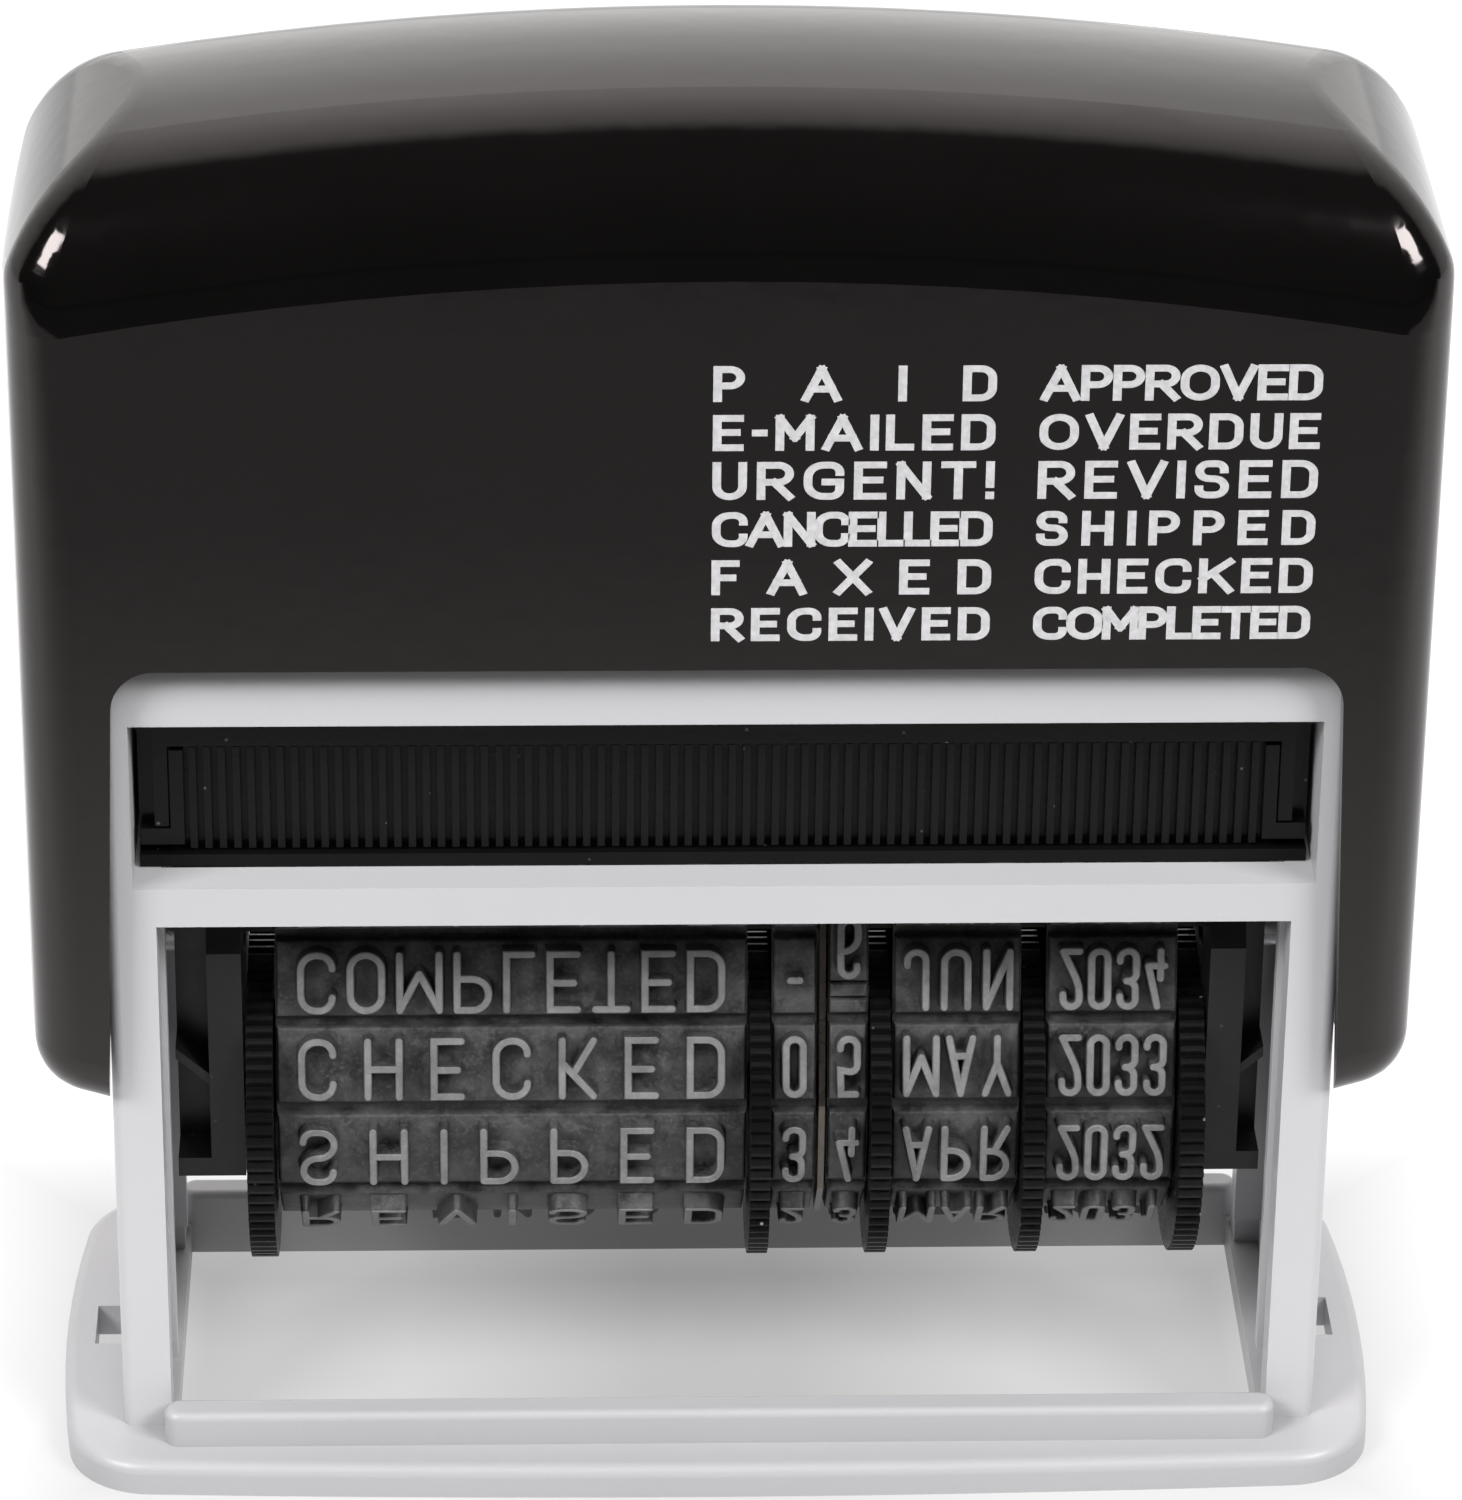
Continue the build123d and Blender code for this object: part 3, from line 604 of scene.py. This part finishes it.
def legend_ink():
    m = Nodes("legend_white")
    grain = m.noise(2400.0, 4.0, 0.7)
    colour = m.mix(m.ramp(grain, 0.0, 1.0, (0.35, 0.7)), (0.430, 0.424, 0.434), (0.570, 0.564, 0.574))
    m.set(Base_Color=colour, Roughness=m.ramp(grain, 0.5, 0.65), Normal=m.bump(grain, 0.2, 0.00005))
    return m.material


RUBBER = rubber("type_block_rubber", (0.014, 0.014, 0.0145), (0.060, 0.060, 0.061), 0.5)
# The type faces: the block rubber made lighter, a painted highlight on the raised letters' tops.
LIT_TYPE_RUBBER = rubber("type_face_painted_highlight", (0.12, 0.12, 0.122), (0.175, 0.175, 0.177), 0.25)
GLOSS = gloss_black()
CARTRIDGE_BLACK = satin_black("cartridge_black", (0.0030, 0.0028, 0.0027), (0.0055, 0.0050, 0.0048),
                              0.25, 0.25, 0.17)
CARRIER_BLACK = satin_black("carrier_black", (0.0055, 0.0052, 0.0050), (0.010, 0.0095, 0.009), 0.38, 0.1, 0.3)
WHEEL_BLACK = satin_black("wheel_black", (0.0030, 0.0028, 0.0028), (0.0060, 0.0056, 0.0054), 0.28, 0.6, 0.2)
FRAME_GREY = grey_abs("frame_grey", (0.460, 0.454, 0.470))
# The base plate: the frame's grey ABS made darker, painted shade on the base.
SHADED_BASE_GREY = grey_abs("base_grey_painted_shade", (0.378, 0.373, 0.386))
STEEL = steel("drawn_steel", (0.42, 0.42, 0.43), (0.66, 0.66, 0.67))
DULL_STEEL = steel("inked_steel", (0.055, 0.048, 0.042), (0.15, 0.13, 0.115))
FELT = felt()
LEGEND = legend_ink()

FINISH = {
    "housing": GLOSS, "inner_frame": FRAME_GREY, "base_plate": SHADED_BASE_GREY, "ink_cartridge": CARTRIDGE_BLACK,
    "press_spring": STEEL, "left_end_plate": CARRIER_BLACK, "right_end_plate": CARRIER_BLACK,
    "print_bridge": CARRIER_BLACK, "day_separator": DULL_STEEL, "wheel_axle": STEEL,
    "left_trunnion": STEEL, "right_trunnion": STEEL, "left_cam_pin": STEEL, "right_cam_pin": STEEL,
}


def finish_nodes():
    for name, node in NODES.items():
        material = WHEEL_BLACK if name.endswith("_wheel") else FINISH.get(name, RUBBER)
        if not node.material_slots:
            node.data.materials.append(material)
        for place in node.material_slots:
            place.material = material


# ---- Ink pad ----
def ink_pad():
    """Felt pad: soft corners, faces dented a little at random and a fibrous surface."""
    low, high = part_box("ink_pad")
    x, y = high.x / MM - 0.05, high.y / MM - 0.05
    bottom, top = low.z / MM - 0.24, high.z / MM - 0.05
    rng = np.random.default_rng(5)
    nx, ny, nz = 121, 25, 10
    points, faces, index = [], [], {}
    size = np.array([x, y, (top - bottom) / 2])
    middle = np.array([0, 0, (top + bottom) / 2])
    corner = 0.9

    def vertex(key):
        if key not in index:
            share = np.array([2 * key[0] / nx - 1, 2 * key[1] / ny - 1, 2 * key[2] / nz - 1])
            p = share * size
            core = np.clip(p, -(size - corner), size - corner)
            away = p - core
            if np.linalg.norm(away) > 1e-9:
                p = core + unit(away) * corner
            p = p - unit(away + 1e-9) * abs(rng.normal(0, 0.035))
            index[key] = len(points)
            points.append(tuple(p + middle))
        return index[key]

    counts = (nx, ny, nz)
    for axis in range(3):
        u, v = [a for a in range(3) if a != axis]
        for end in (0, counts[axis]):
            for i in range(counts[u]):
                for j in range(counts[v]):
                    quad = []
                    for du, dv in ((0, 0), (1, 0), (1, 1), (0, 1)):
                        key = [0, 0, 0]
                        key[axis], key[u], key[v] = end, i + du, j + dv
                        quad.append(vertex(tuple(key)))
                    flip = (end == 0) == (axis != 1)
                    faces.append(tuple(quad[::-1]) if flip else tuple(quad))
    pad = new_mesh("felt_pad", points, faces, [0] * len(faces), [FELT], "cartridge")
    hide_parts("ink_pad")
    return pad


# ---- Press spring ----
SPRING_WIRE = 0.9
SPRING_TURNS = 8
SPRING_GAP = 0.6                 # from the cap's crown, so that the flat upper end clears its arch


def press_coil():
    """Compression spring with closed ends."""
    low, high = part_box("press_spring")
    radius = (high.x - low.x) / MM / 2 - SPRING_WIRE / 2
    top = high.z / MM - SPRING_GAP
    foot, head = low.z / MM + SPRING_WIRE / 2, top - SPRING_WIRE / 2
    closed = SPRING_WIRE * 1.08
    steps, sides = 56 * SPRING_TURNS, 14
    points, faces = [], []
    for step in range(steps + 1):
        turn = SPRING_TURNS * step / steps
        height = np.interp(turn, (0, 1, SPRING_TURNS - 1, SPRING_TURNS),
                           (foot, foot + closed, head - closed, head))
        a = 2 * math.pi * turn
        for side in range(sides):
            b = 2 * math.pi * side / sides
            reach = radius + SPRING_WIRE / 2 * math.cos(b)
            points.append((reach * math.cos(a), reach * math.sin(a), height + SPRING_WIRE / 2 * math.sin(b)))
    for step in range(steps):
        for side in range(sides):
            after = (side + 1) % sides
            faces.append((step * sides + side, (step + 1) * sides + side,
                          (step + 1) * sides + after, step * sides + after))
    faces.append(tuple(range(sides)))
    faces.append(tuple(range(steps * sides, (steps + 1) * sides))[::-1])
    coil = new_mesh("press_coil", points, [face[::-1] for face in faces], [0] * len(faces), [STEEL],
                    "frame")
    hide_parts("press_spring")
    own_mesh(coil)
    return coil


# ---- Printed legend ----
LEGEND_ROWS = (
    ("PAID", "APPROVED", 67.78, 69.89), ("E-MAILED", "OVERDUE", 64.89, 67.02),
    ("URGENT!", "REVISED", 61.98, 64.24), ("CANCELLED", "SHIPPED", 59.17, 61.26),
    ("FAXED", "CHECKED", 56.27, 58.38), ("RECEIVED", "COMPLETED", 53.48, 55.49),
)
LEGEND_COLUMNS = ((-1.0, 14.1), (16.45, 31.5))
LEGEND_INK = (0.235, 0.20)       # half the width of an upright and of a level stroke
# Width of each printed character, as a share of its height.
PRINT_WIDTH = {
    "A": 1.0, "C": .92, "D": .86, "E": .78, "F": .72, "G": .96, "H": .82, "I": .2, "K": .90, "L": .72,
    "M": .98, "N": .82, "O": .99, "P": .80, "R": .88, "S": .82, "T": .83, "U": .82, "V": .94, "X": .94,
    "!": .2, "-": .40,
}


def printed_stroke(shape, stroke, closed, place, scale):
    """A flat stroke with square ends. Its uprights are a little heavier than its level parts."""
    squeeze = LEGEND_INK[1] / LEGEND_INK[0]
    line = round_corners([(p[0] * scale[0], p[1] * scale[1] / squeeze, *p[2:]) for p in stroke], closed)
    if not closed:
        line[0] = line[0] + unit(line[0] - line[1]) * LEGEND_INK[0] * 0.98
        line[-1] = line[-1] + unit(line[-1] - line[-2]) * LEGEND_INK[0] * 0.98
    left, right = side_points(line, closed, LEGEND_INK[0])
    count = len(line)
    points = [place((p[0], p[1] * squeeze)) for p in left + right]
    last = count if closed else count - 1
    faces = [(count + i, count + (i + 1) % count, (i + 1) % count, i) for i in range(last)]
    shape.add(points, faces)


def legend():
    """The list of messages, printed in white on the cap's front face."""
    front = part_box("housing")[0].y / MM
    shape = Shape()
    half_x, half_z = LEGEND_INK
    for left, right, low, high in LEGEND_ROWS:
        for word, (x0, x1) in zip((left, right), LEGEND_COLUMNS):
            wide = [PRINT_WIDTH[c] * (high - low) for c in word]
            gap = (x1 - x0 - sum(wide)) / (len(word) - 1)
            x = x0
            for char, step in zip(word, wide):
                scale = (max(step - 2 * half_x, 0.01), high - low - 2 * half_z)
                for number, (stroke, closed) in enumerate(GLYPHS[char]):
                    def place(p, x=x, low=low, number=number):
                        return (x + half_x + p[0], front - 0.010 - 0.006 * number, low + half_z + p[1])
                    printed_stroke(shape, stroke, closed, place, scale)
                x += step + gap
    return new_mesh("cap_legend", shape.points, shape.faces, shape.kinds, [LEGEND], "housing")


# ---- Stage, light and camera ----
FLOOR_GLOW = 0.85
# The sky's brightness, by angle from the rear horizon, over the top, to the front horizon.
SKY = ((0, 1.75), (28, 1.85), (48, 1.85), (68, 1.5), (80, 1.05), (89, 0.08), (165, 0.045), (180, 0.045))


def floor():
    """Pale table. It glows round the object; under the object its glow is turned down as painted shade,
    rising towards the sides as painted pools of light, and it fades towards the front.
    """
    mesh = bpy.data.meshes.new("floor")
    reach = 3.0
    mesh.from_pydata([(-reach, -reach, 0), (reach, -reach, 0), (reach, reach, 0), (-reach, reach, 0)], [],
                     [(0, 1, 2, 3)])
    plane = bpy.data.objects.new("floor", mesh)
    bpy.context.scene.collection.objects.link(plane)
    m = Nodes("floor_white")
    split = m.node("ShaderNodeSeparateXYZ", {"Vector": m.where})
    wide, deep = 0.034, 0.012
    beside = m.math("SUBTRACT", m.math("ABSOLUTE", split.outputs["X"]), wide)
    along = m.math("SUBTRACT", m.math("ABSOLUTE", split.outputs["Y"]), deep)
    # Painted shade: the glow is turned down under the object, and painted pools of light rise towards its
    # sides.
    shade_under_object = m.ramp(m.math("ABSOLUTE", split.outputs["X"]), 0.27, 0.44, (0.004, 0.018))
    glow_with_shade_under = m.ramp(m.math("MAXIMUM", beside, along), shade_under_object, 1.0, (-0.004, 0.014))
    ahead = m.ramp(split.outputs["Y"], 0.0, 1.0, (-0.135, -0.045))
    glow = m.math("MULTIPLY", m.math("MULTIPLY", glow_with_shade_under, ahead), FLOOR_GLOW)
    near = m.ramp(split.outputs["Y"], 0.0, 1.0, (-0.196, -0.178))
    colour = m.mix(near, (0.02, 0.02, 0.02), (0.20, 0.20, 0.20))
    m.set(Base_Color=colour, Roughness=0.8, Specular_IOR_Level=0.0)
    m.tree.links.new(glow, m.shader.inputs["Emission Strength"])
    m.shader.inputs["Emission Color"].default_value = (1, 1, 1, 1)
    mesh.materials.append(m.material)
    plane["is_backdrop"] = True


def world():
    """Bright low backdrop behind the object, dimmer to the sides and fading to a dark ceiling."""
    sky = bpy.data.worlds.new("studio")
    bpy.context.scene.world = sky
    sky.use_nodes = True
    tree = sky.node_tree
    background = tree.nodes["Background"]
    where = tree.nodes.new("ShaderNodeTexCoord").outputs["Generated"]
    split = tree.nodes.new("ShaderNodeSeparateXYZ")
    tree.links.new(where, split.inputs[0])

    def combined(kind, a, b):
        made = tree.nodes.new("ShaderNodeMath")
        made.operation = kind
        for place, value in enumerate((a, b)):
            if isinstance(value, bpy.types.NodeSocket):
                tree.links.new(value, made.inputs[place])
            else:
                made.inputs[place].default_value = value
        return made.outputs[0]

    height = combined("ABSOLUTE", split.outputs["Z"], 0.0)
    turn = combined("DIVIDE", combined("ARCTAN2", height, split.outputs["Y"]), math.pi)
    ramp = tree.nodes.new("ShaderNodeValToRGB")
    tree.links.new(turn, ramp.inputs["Fac"])
    stops = ramp.color_ramp.elements
    while len(stops) < len(SKY):
        stops.new(0.5)
    for stop, (angle, level) in zip(stops, SKY):
        stop.position = angle / 180
        stop.color = (level, level * 0.985, level * 0.975, 1)
    tree.links.new(ramp.outputs["Color"], background.inputs["Color"])
    sideways = combined("ABSOLUTE", split.outputs["X"], 0.0)
    dim = tree.nodes.new("ShaderNodeMapRange")
    for key, value in (("From Min", 0.15), ("From Max", 0.75), ("To Min", 1.0), ("To Max", 0.45)):
        dim.inputs[key].default_value = value
    tree.links.new(sideways, dim.inputs["Value"])
    tree.links.new(dim.outputs["Result"], background.inputs["Strength"])


def softbox(name, place, target, size, power, seen=True):
    """A square light. Where seen is False, glossy surfaces don't mirror it."""
    light = bpy.data.lights.new(name, "AREA")
    light.shape = "SQUARE"
    light.size = size
    light.energy = power
    lamp = bpy.data.objects.new(name, light)
    bpy.context.scene.collection.objects.link(lamp)
    lamp.location = place
    lamp.visible_glossy = seen
    lamp.rotation_euler = (Vector(target) - Vector(place)).to_track_quat("-Z", "Y").to_euler()


def camera():
    data = bpy.data.cameras.new("camera")
    data.sensor_width = 36.0
    data.sensor_fit = "AUTO"
    data.lens = 169.2
    data.clip_start = 0.01
    data.clip_end = 20.0
    eye = bpy.data.objects.new("camera", data)
    bpy.context.scene.collection.objects.link(eye)
    azimuth, elevation, roll = (math.radians(a) for a in (-1.97, 28.03, 0.6517))
    target = Vector((0.000589, 0.0, 0.040196))
    back = Vector((math.sin(azimuth) * math.cos(elevation), -math.cos(azimuth) * math.cos(elevation),
                   math.sin(elevation)))
    right = (-back).cross(Vector((0, 0, 1))).normalized()
    up = right.cross(-back)
    level_right = math.cos(roll) * right + math.sin(roll) * up
    level_up = -math.sin(roll) * right + math.cos(roll) * up
    turn = Matrix((level_right, level_up, back)).transposed().to_4x4()
    eye.matrix_world = Matrix.Translation(target + back * 0.3990) @ turn
    bpy.context.scene.camera = eye


finish_nodes()
for band in BAND_TYPE:
    type_band(*band)
ink_pad()
press_coil()
legend()
floor()
world()
softbox("key_left", (-0.62, -0.55, 0.72), (0, 0, 0.04), 0.38, 10.0)
softbox("key_right", (0.62, -0.55, 0.72), (0, 0, 0.04), 0.38, 10.0)
softbox("front_fill", (0.0, -0.66, 1.0), (0, 0, 0.03), 0.55, 5.0, False)
camera()
bpy.context.scene.view_settings.view_transform = "Standard"

sizes = {"cad": CAD_BOX, "visual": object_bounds()}
{key: [list(map(float, corner)) for corner in box] for key, box in sizes.items()}
